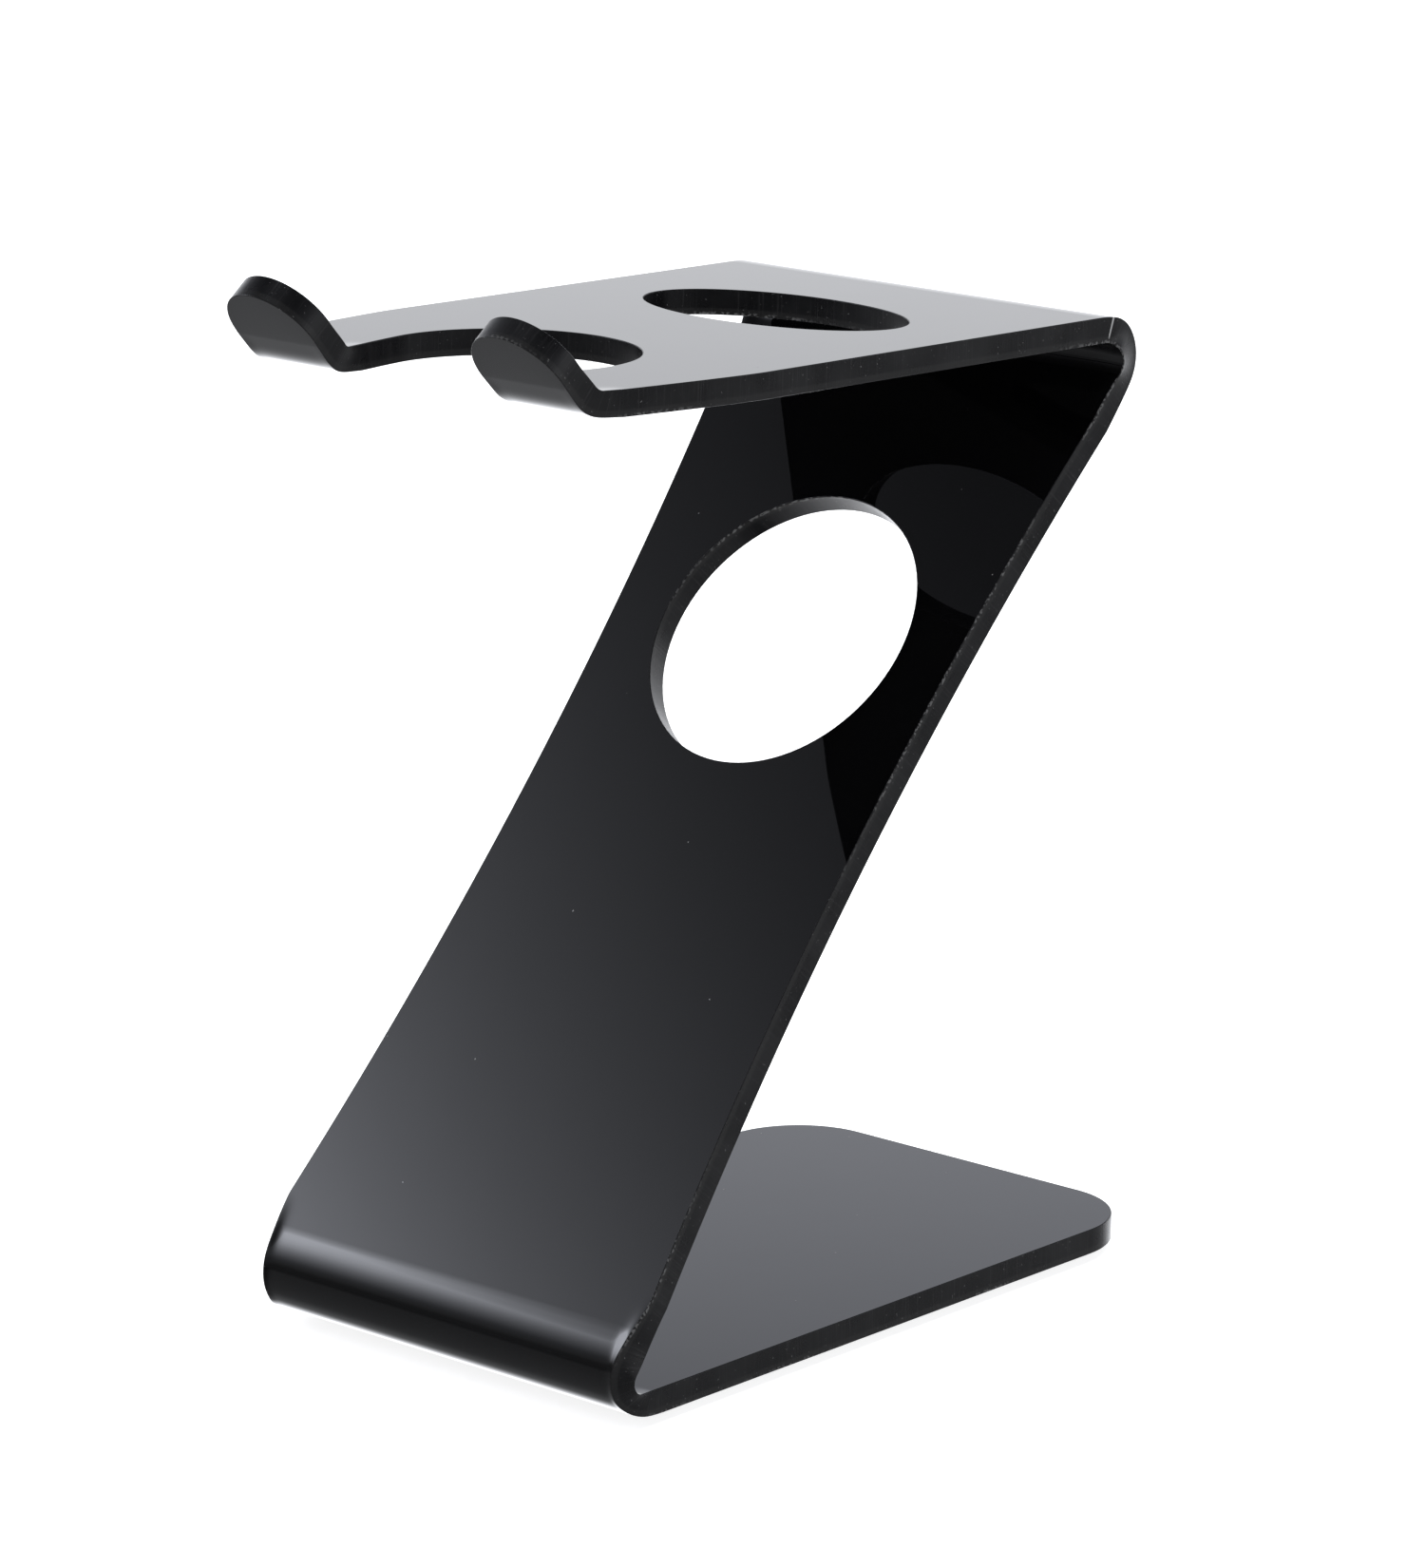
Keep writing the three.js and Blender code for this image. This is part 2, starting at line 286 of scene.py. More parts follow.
def end_distance(across, run):
    """Distance from the nearest side of the sheet or finger, and the way out over that side."""
    side = np.sign(across)
    out = np.abs(across)
    in_finger = run > FINGER_RUN
    far = np.where(in_finger, finger_outer(run), HALF_WIDTH) - out
    near = np.where(in_finger, out - finger_inner(run), 1e9)
    return np.minimum(far, near), np.where(far <= near, side, -side)


def bent(flat):
    """Takes points (across, run, depth) of the cut sheet to (x, y, z). Depth is 0 underneath."""
    across, run, depth = flat.T
    lower = profile_point(0, run)
    upper = profile_point(1, run)
    through = upper - lower
    yz = lower + through * (depth / THICKNESS)[:, None]
    x = across.copy()
    distance, outward = end_distance(across, run)
    distance = np.maximum(distance, 0)
    near_end = np.exp(-distance / STRETCH_FADE)
    curled = np.exp(-((distance / CURL_FADE) ** 2))
    lumped = np.exp(-((distance / LUMP_FADE) ** 2))
    unit = through / np.linalg.norm(through, axis=1)[:, None]
    for bend, (start, end), neck, bulge, curl, lump, strain in zip(
        BENDS, BEND_RUNS, NECK_IN, BULGE_OUT, END_CURL, END_LUMP, STRAIN
    ):
        share = (run - start) / (end - start)
        amount = smoothstep(strain[0], strain[1], share) * (
            1 - smoothstep(strain[2], strain[3], share)
        )
        if bend.outer_side == 0:
            inner = depth / THICKNESS
            inwards = unit
        else:
            inner = 1 - depth / THICKNESS
            inwards = -unit
        inner = np.clip(inner, 0, 1)
        stretch = -neck * (1 - inner) ** 1.3 + bulge * inner**1.5
        x += outward * near_end * amount * stretch
        lift = lump * lumped * inner**2 - curl * curled * (1 - inner)
        yz += inwards * (amount * lift)[:, None]
    return np.column_stack([x, yz])


def bent_normals(flat, flat_normals):
    """Carries normals of the flat sheet through the bending, with the inverse of its gradient."""
    step = 1e-3
    columns = []
    for axis in range(3):
        offset = np.zeros(3)
        offset[axis] = step
        columns.append((bent(flat + offset) - bent(flat - offset)) / (2 * step))
    gradient = np.stack(columns, axis=2)
    carried = np.linalg.solve(gradient.transpose(0, 2, 1), flat_normals[:, :, None])[:, :, 0]
    return carried / np.linalg.norm(carried, axis=1)[:, None]


# ---- Building the sheet ------------------------------------------------------------------------

FACE, CUT = 0, 1
ROUND_STEPS = 3
BEND_MARGIN = 9.0  # how far the fine rows of points run on past a bend
BEND_GAP = 0.6  # between the rows in a bend
MARGIN_GAP = 1.0  # between the rows beside it
END_GAPS = [0.5, 1, 1.5, 2, 2.6, 3.3, 4.2, 5.2, 6.5, 8, 10, 13, 17, 22, 29, 37]


def bend_rows(bend_run):
    """Runs of the rows of points across a bend and a little way into the panels beside it."""
    start, end = bend_run
    within = np.linspace(start, end, 2 + int((end - start) / BEND_GAP))
    before = np.arange(start - BEND_MARGIN, start - MARGIN_GAP / 2, MARGIN_GAP)
    after = np.arange(end + MARGIN_GAP, end + BEND_MARGIN + MARGIN_GAP / 2, MARGIN_GAP)
    return np.concatenate([before, within, after])


ROWS = [bend_rows(bend_run) for bend_run in BEND_RUNS]
ROWS[2] = ROWS[2][ROWS[2] < TIP_CENTRE_RUN - 0.5]
WAIST_START = PANEL_RUN[1] + WAIST_CENTRE - WAIST_LENGTH / 2


def half_width(run):
    """Half the width of the sheet at each run, from the base's rear corners to the finger tips."""
    half_chord = WAIST_LENGTH / 2
    radius = (half_chord**2 + WAIST_DEPTH**2) / (2 * WAIST_DEPTH)
    along = np.clip(run - WAIST_START - half_chord, -half_chord, half_chord)
    waist = np.sqrt(radius**2 - along**2) - (radius - WAIST_DEPTH)
    return np.where(run > TAPER[0, 1], finger_outer(run), HALF_WIDTH - waist)


def outer_loop():
    """The sheet's outline, counter-clockwise, as (across, run)."""
    corner_centre = (HALF_WIDTH - BASE_CORNER_RADIUS, BASE_CORNER_RADIUS)
    corner = arc(corner_centre, BASE_CORNER_RADIUS, -90, 0, 24)
    waist = np.linspace(WAIST_START, WAIST_START + WAIST_LENGTH, 61)
    runs = np.unique(
        np.concatenate([*ROWS, waist, TAPER[:, 1][TAPER[:, 1] < ROWS[2][0]], [TIP_CENTRE_RUN]])
    )
    up = np.column_stack([half_width(runs), runs])
    tip = arc((FINGER_OFFSET, TIP_CENTRE_RUN), FINGER_RADIUS, 0, 180, 36)[1:]
    runs = np.concatenate([THROAT[:, 1][THROAT[:, 1] < ROWS[2][0]], ROWS[2]])[::-1]
    down = np.column_stack([finger_inner(runs), runs])
    wrap = math.degrees(NOTCH_WRAP)
    round_end = arc((0, SHELF_RUN + NOTCH_CENTRE), NOTCH_RADIUS, wrap, -90, 40)[1:]
    right = np.vstack([corner, up, tip, down, round_end])
    left = (right * [-1, 1])[::-1]
    return np.vstack([right, left[1:]])


def way_round(across, run):
    """How far round the outline, from its start, the outline's nearest point to a place is."""
    loop = outer_loop()
    travelled = np.cumsum(np.linalg.norm(np.diff(loop, axis=0), axis=1))
    nearest = np.argmin(np.linalg.norm(loop - (across, run), axis=1))
    return travelled[nearest - 1]


def hole_loop(radii, centre_run):
    """The outline of a hole, clockwise, so that the sheet is on its left all the way round."""
    return arc((0, centre_run), radii, 360, 0, 96)[:-1]


def outward_normals(loop):
    """Normals to the right of the way that a closed loop goes."""
    into = loop - np.roll(loop, 1, axis=0)
    out_of = np.roll(loop, -1, axis=0) - loop
    along = into / np.linalg.norm(into, axis=1)[:, None]
    along += out_of / np.linalg.norm(out_of, axis=1)[:, None]
    along /= np.linalg.norm(along, axis=1)[:, None]
    return np.column_stack([along[:, 1], -along[:, 0]])


def across_points(low, high):
    """Points between two edges, close together near them, where a bend's faces curve most."""
    half = (high - low) / 2
    steps = np.array([g for g in END_GAPS if g < half - 0.4])
    return np.concatenate([low + steps, [(low + high) / 2], high - steps[::-1]])


def row_lines():
    """Lines of points across every bend, one for each stretch of sheet that it crosses."""
    lines = []
    for runs in ROWS[:2]:
        for run in runs:
            x = across_points(-HALF_WIDTH + EDGE_ROUND, HALF_WIDTH - EDGE_ROUND)
            lines.append(np.column_stack([x, np.full(len(x), run)]))
    for run in ROWS[2]:
        inner = float(finger_inner(np.array([run]))[0]) + EDGE_ROUND
        outer = float(finger_outer(np.array([run]))[0]) - EDGE_ROUND
        x = across_points(inner, outer)
        right = np.column_stack([x, np.full(len(x), run)])
        lines += [right, (right * [-1, 1])[::-1]]
    return lines


def inside(points, loops):
    """Whether each point is on the sheet, by counting the outlines that lie to its right."""
    crossings = np.zeros(len(points), int)
    for loop in loops:
        x1, y1 = loop.T
        x2, y2 = np.roll(loop, -1, axis=0).T
        px, py = points[:, 0][:, None], points[:, 1][:, None]
        spans = (y1 > py) != (y2 > py)
        rise = np.where(y2 == y1, 1.0, y2 - y1)
        crossings += (spans & (px < (x2 - x1) * (py - y1) / rise + x1)).sum(axis=1)
    return crossings % 2 == 1


def chain(first, count, closed):
    """Edges that join count points one after the other."""
    links = [(first + k, first + k + 1) for k in range(count - 1)]
    if closed:
        links.append((first + count - 1, first))
    return links


def rim_column():
    """Rows through the thickness at a cut edge: (inset, depth, outward share, upward share)."""
    angles = np.linspace(0, math.pi / 2, ROUND_STEPS + 1)
    lower = [
        (EDGE_ROUND * (1 - math.sin(a)), EDGE_ROUND * (1 - math.cos(a)), math.sin(a), -math.cos(a))
        for a in angles
    ]
    walls = [(0.0, depth, 1.0, 0.0) for depth in np.linspace(0.8, THICKNESS - 0.8, 5)]
    upper = [(inset, THICKNESS - depth, out, -up) for inset, depth, out, up in lower[::-1]]
    return lower + walls + upper


class FlatSheet:
    """The cut sheet before it is bent: points, normals, faces, each face's finish and its map."""

    def __init__(self):
        loops = [
            outer_loop(),
            hole_loop(BACK_HOLE_RADIUS, PANEL_RUN[1] + BACK_HOLE_CENTRE),
            hole_loop(SHELF_HOLE_RADII, SHELF_RUN + SHELF_HOLE_CENTRE),
        ]
        self.faces, self.finishes, self.maps = [], [], []
        outs = [outward_normals(loop) for loop in loops]
        insets = [loop - out * EDGE_ROUND for loop, out in zip(loops, outs)]
        rows = row_lines()
        self.plan = np.vstack(insets + rows)
        self.add_faces(insets, rows)
        count = len(self.plan)
        points = [np.column_stack([self.plan, np.full(count, d)]) for d in (0, THICKNESS)]
        normals = [np.tile([0.0, 0.0, up], (count, 1)) for up in (-1, 1)]
        self.points, self.normals = np.vstack(points), np.vstack(normals)
        first = 0
        for loop, out in zip(loops, outs):
            self.add_rim(loop, out, first)
            first += len(loop)

    def add_faces(self, insets, rows):
        """The polished faces, triangulated so that rows of edges follow every bend."""
        edges, first = [], 0
        for line, closed in [(i, True) for i in insets] + [(r, False) for r in rows]:
            edges += chain(first, len(line), closed)
            first += len(line)
        found = delaunay_2d_cdt([Vector(p) for p in self.plan], edges, [], 0, 1e-5)
        original = [ids[0] for ids in found[3]]
        triangles = np.array([[original[k] for k in face] for face in found[2]])
        corners = self.plan[triangles]
        triangles = triangles[inside(corners.mean(axis=1), insets)]
        corners = self.plan[triangles]
        ahead, beside = corners[:, 1] - corners[:, 0], corners[:, 2] - corners[:, 0]
        clockwise = ahead[:, 0] * beside[:, 1] - ahead[:, 1] * beside[:, 0] < 0
        triangles[clockwise] = triangles[clockwise][:, ::-1]
        for a, b, c in triangles.tolist():
            count = len(self.plan)
            self.add((c, b, a), FACE, self.plan[[c, b, a]])
            self.add((a + count, b + count, c + count), FACE, self.plan[[a, b, c]])

    def add_rim(self, loop, out, first):
        """The cut edge along one outline, with a small round where it meets each face."""
        column = rim_column()
        count, base = len(loop), len(self.points)
        inner_rows = column[1:-1]
        rows = [[first + k for k in range(count)]]
        for r, (inset, depth, outward, up) in enumerate(inner_rows):
            self.points = np.vstack(
                [self.points, np.column_stack([loop - out * inset, np.full(count, depth)])]
            )
            ways = np.column_stack([out * outward, np.full(count, up)])
            self.normals = np.vstack([self.normals, ways])
            rows.append([base + r * count + k for k in range(count)])
        rows.append([len(self.plan) + first + k for k in range(count)])
        gaps = np.linalg.norm(np.roll(loop, -1, axis=0) - loop, axis=1)
        travelled = np.concatenate([[0], np.cumsum(gaps)])
        for r in range(len(rows) - 1):
            low, high = column[r][1], column[r + 1][1]
            for k in range(count):
                after = (k + 1) % count
                corners = (rows[r][k], rows[r][after], rows[r + 1][after], rows[r + 1][k])
                a, b = travelled[k], travelled[k + 1]
                self.add(corners, CUT, [(a, low), (b, low), (b, high), (a, high)])

    def add(self, corners, finish, mapped):
        # The run points along -Y once bent, which turns every face over, so it is turned back.
        self.faces.append(corners[::-1])
        self.finishes.append(finish)
        self.maps.extend(mapped[::-1])


def in_frame(points):
    """Puts points of the bent sheet where the CAD sheet's rear and underside are, in metres."""
    low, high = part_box("acrylic_sheet")
    rear = high.y / MM
    return (points + [0, rear, low.z / MM]) * MM


def make_sheet(materials):
    flat = FlatSheet()
    points = in_frame(bent(flat.points))
    mesh = bpy.data.meshes.new("bent_sheet")
    mesh.from_pydata(points.tolist(), [], flat.faces)
    mesh.uv_layers.new(name="cut")
    mesh.uv_layers[0].data.foreach_set("uv", (np.array(flat.maps) * MM).ravel())
    for material in materials:
        mesh.materials.append(material)
    mesh.polygons.foreach_set("material_index", flat.finishes)
    mesh.polygons.foreach_set("use_smooth", [True] * len(mesh.polygons))
    mesh.normals_split_custom_set_from_vertices(bent_normals(flat.points, flat.normals).tolist())
    sheet = bpy.data.objects.new("bent_acrylic_sheet", mesh)
    bpy.context.scene.collection.objects.link(sheet)
    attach(sheet, "root")
    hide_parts("acrylic_sheet")


# ---- Materials ---------------------------------------------------------------------------------


class Nodes:
    """Short calls for building the node tree of a material or of the world."""

    def __init__(self, owner):
        owner.use_nodes = True
        self.owner = owner
        self.tree = owner.node_tree

    def make(self, kind, settings=None, **inputs):
        node = self.tree.nodes.new(kind)
        for key, value in (settings or {}).items():
            setattr(node, key, value)
        for key, value in inputs.items():
            self.feed(node, key.replace("_", " "), value)
        return node

    def feed(self, node, key, value):
        socket = node.inputs[int(key)] if key.isdigit() else node.inputs[key]
        if isinstance(value, bpy.types.NodeSocket):
            self.tree.links.new(value, socket)
        else:
            socket.default_value = value

    def math(self, operation, *values):
        node = self.make("ShaderNodeMath", {"operation": operation})
        for place, value in enumerate(values):
            self.feed(node, str(place), value)
        return node.outputs[0]

    def blend(self, share, a, b):
        """The number a where share is 0, and b where it is 1."""
        node = self.make("ShaderNodeMix", {"data_type": "FLOAT"})
        for key, number in zip(("0", "2", "3"), (share, a, b)):
            self.feed(node, key, number)
        return node.outputs[0]

    def ramp(self, value, low, high, from_value=0.0, to_value=1.0):
        """A smooth change from one value to another as value goes from low to high."""
        node = self.make("ShaderNodeMapRange", {"interpolation_type": "SMOOTHSTEP"})
        for key, number in zip(("Value", "From Min", "From Max"), (value, low, high)):
            self.feed(node, key, number)
        self.feed(node, "To Min", from_value)
        self.feed(node, "To Max", to_value)
        return node.outputs["Result"]

    def noise(self, vector, scale, detail=2.0, roughness=0.5):
        node = self.make("ShaderNodeTexNoise")
        for key, number in (("Vector", vector), ("Scale", scale), ("Detail", detail)):
            self.feed(node, key, number)
        self.feed(node, "Roughness", roughness)
        return node.outputs["Fac"]

    def scaled(self, vector, scale):
        node = self.make("ShaderNodeMapping")
        self.feed(node, "Vector", vector)
        self.feed(node, "Scale", scale)
        return node.outputs["Vector"]

    def mix(self, share, a, b):
        node = self.make("ShaderNodeMix", {"data_type": "RGBA"})
        self.feed(node, "0", share)
        self.feed(node, "6", a)
        self.feed(node, "7", b)
        return node.outputs[2]

    def bump(self, height, distance, strength=1.0, normal=None):
        node = self.make("ShaderNodeBump")
        for key, value in (("Height", height), ("Distance", distance), ("Strength", strength)):
            self.feed(node, key, value)
        if normal is not None:
            self.feed(node, "Normal", normal)
        return node.outputs["Normal"]

    def steps(self, value, level, changes):
        """A level that takes smooth steps, each (from, to, change), as value grows."""
        for low, high, change in changes:
            level = self.math("ADD", level, self.ramp(value, low, high, 0.0, change))
        return level

    def finish(self, **inputs):
        shader = self.tree.nodes["Principled BSDF"]
        for key, value in inputs.items():
            self.feed(shader, key.replace("_", " "), value)
        return self.owner


def new_material(name):
    return Nodes(bpy.data.materials.new(name))


def object_position(nodes):
    return nodes.make("ShaderNodeTexCoord").outputs["Object"]


PAINTED_GLINT_BACK = 2.6  # from the upper bend's end to the painted glint, a light line painted across the cut edge


def polished_acrylic():
    """Cast acrylic's glossy skin: nearly a mirror, with faint haze, wipe marks and dust."""
    n = new_material("black_acrylic_polished")
    where = object_position(n)
    haze = n.noise(where, 18.0, 3.0)
    wiped = n.noise(n.scaled(where, (14.0, 14.0, 220.0)), 1.0, 4.0, 0.6)
    dust = n.make("ShaderNodeTexVoronoi", {"feature": "F1"})
    n.feed(dust, "Vector", where)
    n.feed(dust, "Scale", 260.0)
    # Each cell's own colour picks the few that hold a speck.
    cell = n.math("FRACT", n.math("MULTIPLY", dust.outputs["Color"], 7.31))
    picked = n.math("GREATER_THAN", cell, 0.93)
    speck = n.math("MULTIPLY", n.ramp(dust.outputs["Distance"], 0.02, 0.055, 1.0, 0.0), picked)
    clear = (0.0007, 0.0007, 0.0009, 1)
    hazy = (0.0015, 0.0015, 0.0018, 1)
    colour = n.mix(speck, n.mix(n.ramp(haze, 0.35, 0.7), clear, hazy), (0.22, 0.215, 0.205, 1))
    wipes = n.ramp(wiped, 0.45, 0.75, 0.012, 0.03)
    dulled = n.math("ADD", wipes, n.ramp(haze, 0.4, 0.8, 0.0, 0.015))
    roughness = n.math("ADD", dulled, n.math("MULTIPLY", speck, 0.5))
    ripple = n.bump(n.noise(where, 60.0, 1.0), 0.000004)
    normal = n.bump(speck, 0.00002, 0.6, ripple)
    return n.finish(Base_Color=colour, Roughness=roughness, IOR=1.49, Normal=normal)


def cut_acrylic():
    """The machine-cut edge: satin, with fine lines through the thickness and a few tiny chips, and
    a painted highlight: a light line across it where the heated strip of the upper bend ended."""
    n = new_material("black_acrylic_cut_edge")
    along = n.make("ShaderNodeUVMap", {"uv_map": "cut"}).outputs["UV"]
    where = object_position(n)
    lines = n.noise(n.scaled(along, (2600.0, 60.0, 1.0)), 1.0, 3.0, 0.65)
    waves = n.noise(n.scaled(along, (420.0, 30.0, 1.0)), 1.0, 2.0)
    cloudy = n.noise(where, 90.0, 3.0)
    travelled, up, _ = n.make("ShaderNodeSeparateXYZ", Vector=along).outputs
    depth = n.math("DIVIDE", up, MM)
    # Painted highlight: a thin light line across the edge where the heated strip ended. It stands
    # in for the glint that a small step there catches. line holds it.
    painted_glint_place = way_round(HALF_WIDTH, BEND_RUNS[1][1] - PAINTED_GLINT_BACK) * MM
    from_painted_glint = n.math("ABSOLUTE", n.math("SUBTRACT", travelled, painted_glint_place))
    line = n.ramp(from_painted_glint, 0.0001, 0.0003, 1.0, 0.0)
    line = n.math("MULTIPLY", line, n.ramp(depth, 0.6, 1.4))
    lower_band = n.ramp(depth, 1.1, 1.5, 1.0, 0.0)
    # Chips are rare on the edge, and gather in runs along the underside's corner.
    chips = n.ramp(n.noise(where, 1900.0, 1.0), 0.73, 0.78)
    corner = n.ramp(depth, 0.3, 0.8, 1.0, 0.0)
    corner = n.math("MULTIPLY", corner, n.ramp(n.noise(where, 22.0), 0.5, 0.62))
    broken = n.math("MULTIPLY", n.ramp(n.noise(where, 1500.0, 1.0), 0.5, 0.58), corner)
    chips = n.math("MAXIMUM", chips, broken)
    dark = (0.0026, 0.0026, 0.0031, 1)
    pale = (0.0052, 0.0052, 0.0058, 1)
    base = n.mix(n.ramp(cloudy, 0.3, 0.7), dark, pale)
    layered = n.mix(n.math("MULTIPLY", lower_band, 0.6), base, (0.013, 0.013, 0.013, 1))
    scored = n.mix(n.ramp(lines, 0.52, 0.8, 0.0, 0.5), layered, (0.034, 0.034, 0.035, 1))
    colour = n.mix(n.math("MULTIPLY", chips, 0.7), scored, (0.11, 0.11, 0.11, 1))
    # Paints that glint line into the colour as a pale grey.
    colour = n.mix(line, colour, (0.3, 0.3, 0.3, 1))
    roughness = n.ramp(cloudy, 0.3, 0.75, 0.24, 0.4)
    coarse = n.bump(waves, 0.00005, 0.35)
    fine = n.bump(lines, 0.00003, 0.8, coarse)
    return n.finish(
        Base_Color=colour, Roughness=roughness, IOR=1.45, Specular_IOR_Level=0.34, Normal=fine
    )


def pad_rubber():
    """Moulded rubber with a fine grain and some dust picked up in patches."""
    n = new_material("foot_pad_rubber")
    where = object_position(n)
    grain = n.noise(where, 2600.0, 3.0, 0.6)
    worn = n.noise(where, 320.0, 3.0)
    colour = n.mix(n.ramp(worn, 0.4, 0.75), (0.018, 0.018, 0.019, 1), (0.045, 0.044, 0.042, 1))
    roughness = n.ramp(worn, 0.3, 0.8, 0.62, 0.85)
    return n.finish(
        Base_Color=colour, Roughness=roughness, IOR=1.5, Normal=n.bump(grain, 0.00003, 0.6)
    )


def tape_foam():
    """Pale foam tape: fine open cells at its cut edge, slightly yellowed."""
    n = new_material("foot_tape_foam")
    where = object_position(n)
    cells = n.make("ShaderNodeTexVoronoi", {"feature": "F1"})
    n.feed(cells, "Vector", where)
    n.feed(cells, "Scale", 5200.0)
    aged = n.noise(where, 240.0, 2.0)
    colour = n.mix(n.ramp(aged, 0.35, 0.7), (0.52, 0.5, 0.45, 1), (0.42, 0.39, 0.32, 1))
    pores = n.ramp(cells.outputs["Distance"], 0.1, 0.6)
    return n.finish(
        Base_Color=colour,
        Roughness=n.ramp(aged, 0.3, 0.8, 0.7, 0.9),
        Normal=n.bump(pores, 0.00004, 0.5),
    )


# ---- The feet ----------------------------------------------------------------------------------


def turned(name, profile, steps=64):
    """A round piece from its (radius, height) profile, in millimetres, about its own axis."""
    points, faces, rings = [], [], []
    for radius, height in profile:
        if radius == 0:
            rings.append([len(points)])
            points.append((0, 0, height))
            continue
        rings.append(list(range(len(points), len(points) + steps)))
        for k in range(steps):
            angle = 2 * math.pi * k / steps
            points.append((radius * math.cos(angle), radius * math.sin(angle), height))
    for low, high in zip(rings[:-1], rings[1:]):
        for k in range(steps):
            after = (k + 1) % steps
            a, b = low[k % len(low)], low[after % len(low)]
            c, d = high[after % len(high)], high[k % len(high)]
            faces.append([v for i, v in enumerate((a, b, c, d)) if v not in (a, b, c, d)[:i]])
    mesh = bpy.data.meshes.new(name)
    mesh.from_pydata((np.array(points) * MM).tolist(), [], faces)
    mesh.polygons.foreach_set("use_smooth", [True] * len(mesh.polygons))
    return mesh


def pad_profile(radius, height):
    """From the middle of the pad's underside out, up and back in over its top."""
    edge = 0.45
    underside = [(0, 0.1), (radius * 0.45, 0.1), (radius * 0.5, 0.0)]
    underside += [(radius * 0.78, 0.0), (radius * 0.8, 0.08), (radius * 0.82, 0.0)]
    top_edge = edge * 0.6
    rounds = arc((radius - edge, edge), edge, -90, 0, 6)
    tops = arc((radius - top_edge, height - top_edge), top_edge, 0, 90, 5)
    return underside + rounds.tolist() + tops.tolist() + [(0, height)]


def make_pad(corner, material):
    node = f"foot_pad_{corner}"
    low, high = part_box(node)
    middle = (low + high) / 2
    radius = (high.x - low.x) / 2 / MM
    mesh = turned(f"{node}_moulding", pad_profile(radius, (high.z - low.z) / MM))
    mesh.materials.append(material)
    pad = bpy.data.objects.new(f"{node}_moulding", mesh)
    pad.location = (middle.x, middle.y, low.z)
    bpy.context.scene.collection.objects.link(pad)
    bpy.context.view_layer.update()
    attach(pad, "root")
    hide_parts(node)


# ---- The studio --------------------------------------------------------------------------------


CAMERA_PLACE = (0.8197, -0.8986, 0.4112)
CAMERA_TURN = math.radians(42.15)  # to the left, from looking straight to the back
CAMERA_TILT = math.radians(14.3)  # downwards
CAMERA_LENS = 152.1
LAMP_PLACE = (0.0, 0.2, 1.8)
LAMP_SIZE = (1.6, 1.6)
LAMP_POWER = 30
FLOOR_HALF = 12.0
SEEN_WHITE = 1.1  # how bright the camera sees the surroundings
# The soft light's brightest corner, in degrees, and how fast it fades from there.
LIGHT_BEARING = -33.5
LIGHT_TOP = 35.5
LIGHT_TOP_SLOPE = -0.11  # how its top edge drops away from the corner
LIGHT_FADE_UP = 2.1
LIGHT_FADE_SIDE = 4.8
LIGHT_LEVEL = 6.6


def make_floor():
    """A pale table that gives off a soft light of its own, so that it carries hardly any shadow,
    and that the gloss doesn't mirror."""
    n = new_material("pale_floor")
    where = object_position(n)
    clouds = n.ramp(n.noise(where, 3.0, 3.0), 0.3, 0.7)
    tone = n.mix(clouds, (0.86, 0.86, 0.86, 1), (0.88, 0.88, 0.88, 1))
    material = n.finish(
        Base_Color=tone, Roughness=0.9, Emission_Color=(1, 1, 1, 1), Emission_Strength=0.85
    )
    mesh = bpy.data.meshes.new("floor")
    corners = [(-1, -1), (1, -1), (1, 1), (-1, 1)]
    mesh.from_pydata([(x * FLOOR_HALF, y * FLOOR_HALF, 0) for x, y in corners], [], [(0, 1, 2, 3)])
    mesh.materials.append(material)
    floor = bpy.data.objects.new("floor", mesh)
    floor.visible_glossy = False
    bpy.context.scene.collection.objects.link(floor)


def soft_light(n, bearing, elevation):
    """The soft light, which fades out upwards and towards the front from its brightest corner,
    and ends before it gets straight to the left."""
    beside = n.math("MAXIMUM", n.math("SUBTRACT", LIGHT_BEARING, bearing), 0.0)
    top_edge = n.math("MULTIPLY_ADD", beside, LIGHT_TOP_SLOPE, LIGHT_TOP)
    above = n.math("MAXIMUM", n.math("SUBTRACT", elevation, top_edge), 0.0)
    upwards = n.math("DIVIDE", above, LIGHT_FADE_UP)
    fading = n.math("ADD", upwards, n.math("DIVIDE", beside, LIGHT_FADE_SIDE))
    light = n.math("EXPONENT", n.math("MULTIPLY", fading, -1.0))
    light = n.math("MULTIPLY", light, LIGHT_LEVEL)
    light = n.math("MULTIPLY", light, n.ramp(bearing, -15.0, 0.0, 1.0, 0.0))
    return n.math("MULTIPLY", light, n.ramp(elevation, 8.0, 34.0))


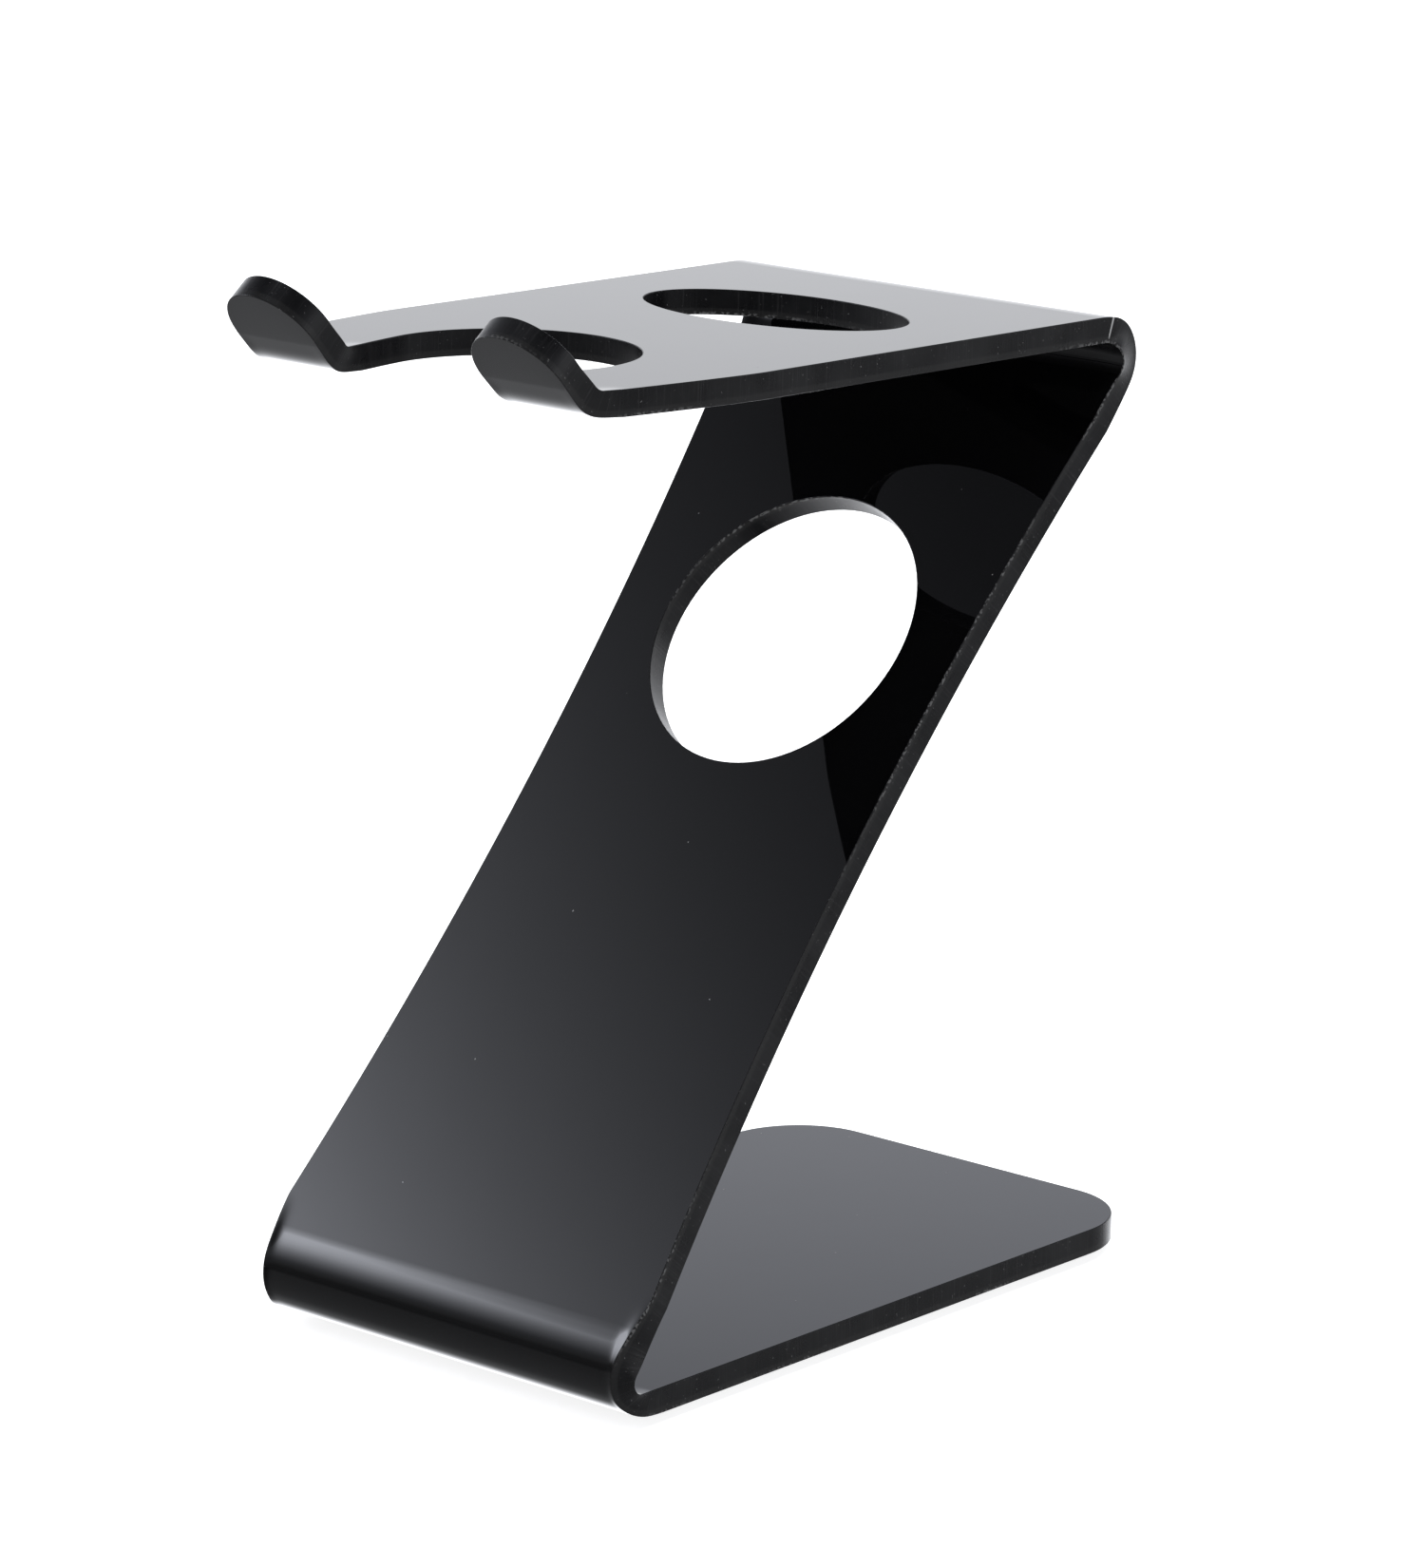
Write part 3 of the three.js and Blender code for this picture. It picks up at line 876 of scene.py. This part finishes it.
def make_world():
    """What the gloss mirrors: a studio with one big soft light at the front left, a bright sweep
    behind on the left and a grey floor. The camera itself sees it as plain white."""
    world = bpy.data.worlds.new("studio")
    bpy.context.scene.world = world
    n = Nodes(world)
    way = n.make("ShaderNodeTexCoord").outputs["Generated"]
    x, y, z = n.make("ShaderNodeSeparateXYZ", Vector=way).outputs
    elevation = n.math("MULTIPLY", n.math("ARCSINE", z), 180 / math.pi)
    # The bearing is 0 to the left of the holder, 90 behind it and -90 in front of it.
    bearing = n.math("ARCTAN2", y, n.math("MULTIPLY", x, -1.0))
    bearing = n.math("MULTIPLY", bearing, 180 / math.pi)

    # Behind: a bright sweep that darkens upwards to its edge and past it, and a grey ceiling.
    changes = [(-6, 16, -0.6), (14.5, 24.5, -0.72), (22, 33, -0.14), (60, 76, 0.26)]
    sweep = n.steps(elevation, 1.6, changes)
    # In front: a dark horizon, haze above it, the glow round the soft light, then the dark room
    # and the same ceiling.
    changes = [(4, 13, 0.12), (17, 27, 0.16), (29, 46, -0.36), (60, 76, 0.34)]
    glow = n.steps(elevation, 0.14, changes)
    upper = n.blend(n.ramp(bearing, -25.0, 20.0), glow, sweep)
    upper = n.math("ADD", upper, soft_light(n, bearing, elevation))

    # Below the horizon: a floor that is dark in front, grey on the left and bright beyond that.
    changes = [(-180, -128, -0.28), (-70, -43, 0.15), (-26, 8, 0.2)]
    changes += [(4, 42, 2.35), (55, 112, -2.42)]
    ground = n.steps(bearing, 0.38, changes)
    ground = n.math("MULTIPLY", ground, n.ramp(elevation, -8.0, -1.0, 1.0, 0.5))
    radiance = n.blend(n.ramp(elevation, -3.0, 1.0), ground, upper)

    seen = n.make("ShaderNodeLightPath").outputs["Is Camera Ray"]
    background = n.tree.nodes["Background"]
    # The light from higher up is slightly blue.
    tint = n.mix(n.ramp(elevation, 7.0, 19.0), (0.985, 1, 1.04, 1), (0.97, 1, 1.1, 1))
    n.feed(background, "Color", tint)
    n.feed(background, "Strength", n.blend(seen, radiance, SEEN_WHITE))


def make_lamp():
    """A large soft lamp overhead, which the gloss doesn't mirror."""
    light = bpy.data.lights.new("overhead", "AREA")
    light.shape = "RECTANGLE"
    light.size, light.size_y = LAMP_SIZE
    light.energy = LAMP_POWER
    lamp = bpy.data.objects.new("overhead", light)
    lamp.location = LAMP_PLACE
    way = Vector((0, 0, 0)) - Vector(LAMP_PLACE)
    lamp.rotation_euler = way.to_track_quat("-Z", "Y").to_euler()
    lamp.visible_glossy = False
    bpy.context.scene.collection.objects.link(lamp)


def make_camera():
    """The camera stands and looks as the photograph's does."""
    camera = bpy.data.cameras.new("camera")
    camera.sensor_width = 36
    camera.lens = CAMERA_LENS
    holder = bpy.data.objects.new("camera", camera)
    holder.location = CAMERA_PLACE
    level = math.cos(CAMERA_TILT)
    ahead = (-math.sin(CAMERA_TURN) * level, math.cos(CAMERA_TURN) * level, -math.sin(CAMERA_TILT))
    holder.rotation_euler = Vector(ahead).to_track_quat("-Z", "Y").to_euler()
    bpy.context.scene.collection.objects.link(holder)
    bpy.context.scene.camera = holder


# ---- The scene ---------------------------------------------------------------------------------

make_camera()
make_floor()
make_world()
make_lamp()

make_sheet([polished_acrylic(), cut_acrylic()])
rubber = pad_rubber()
foam = tape_foam()
for corner in ("front_left", "front_right", "rear_left", "rear_right"):
    make_pad(corner, rubber)
    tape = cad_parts[f"foot_tape_{corner}"]
    tape.data.materials.clear()
    tape.data.materials.append(foam)

bpy.context.scene.view_settings.view_transform = "Standard"  # shows the tones as they are
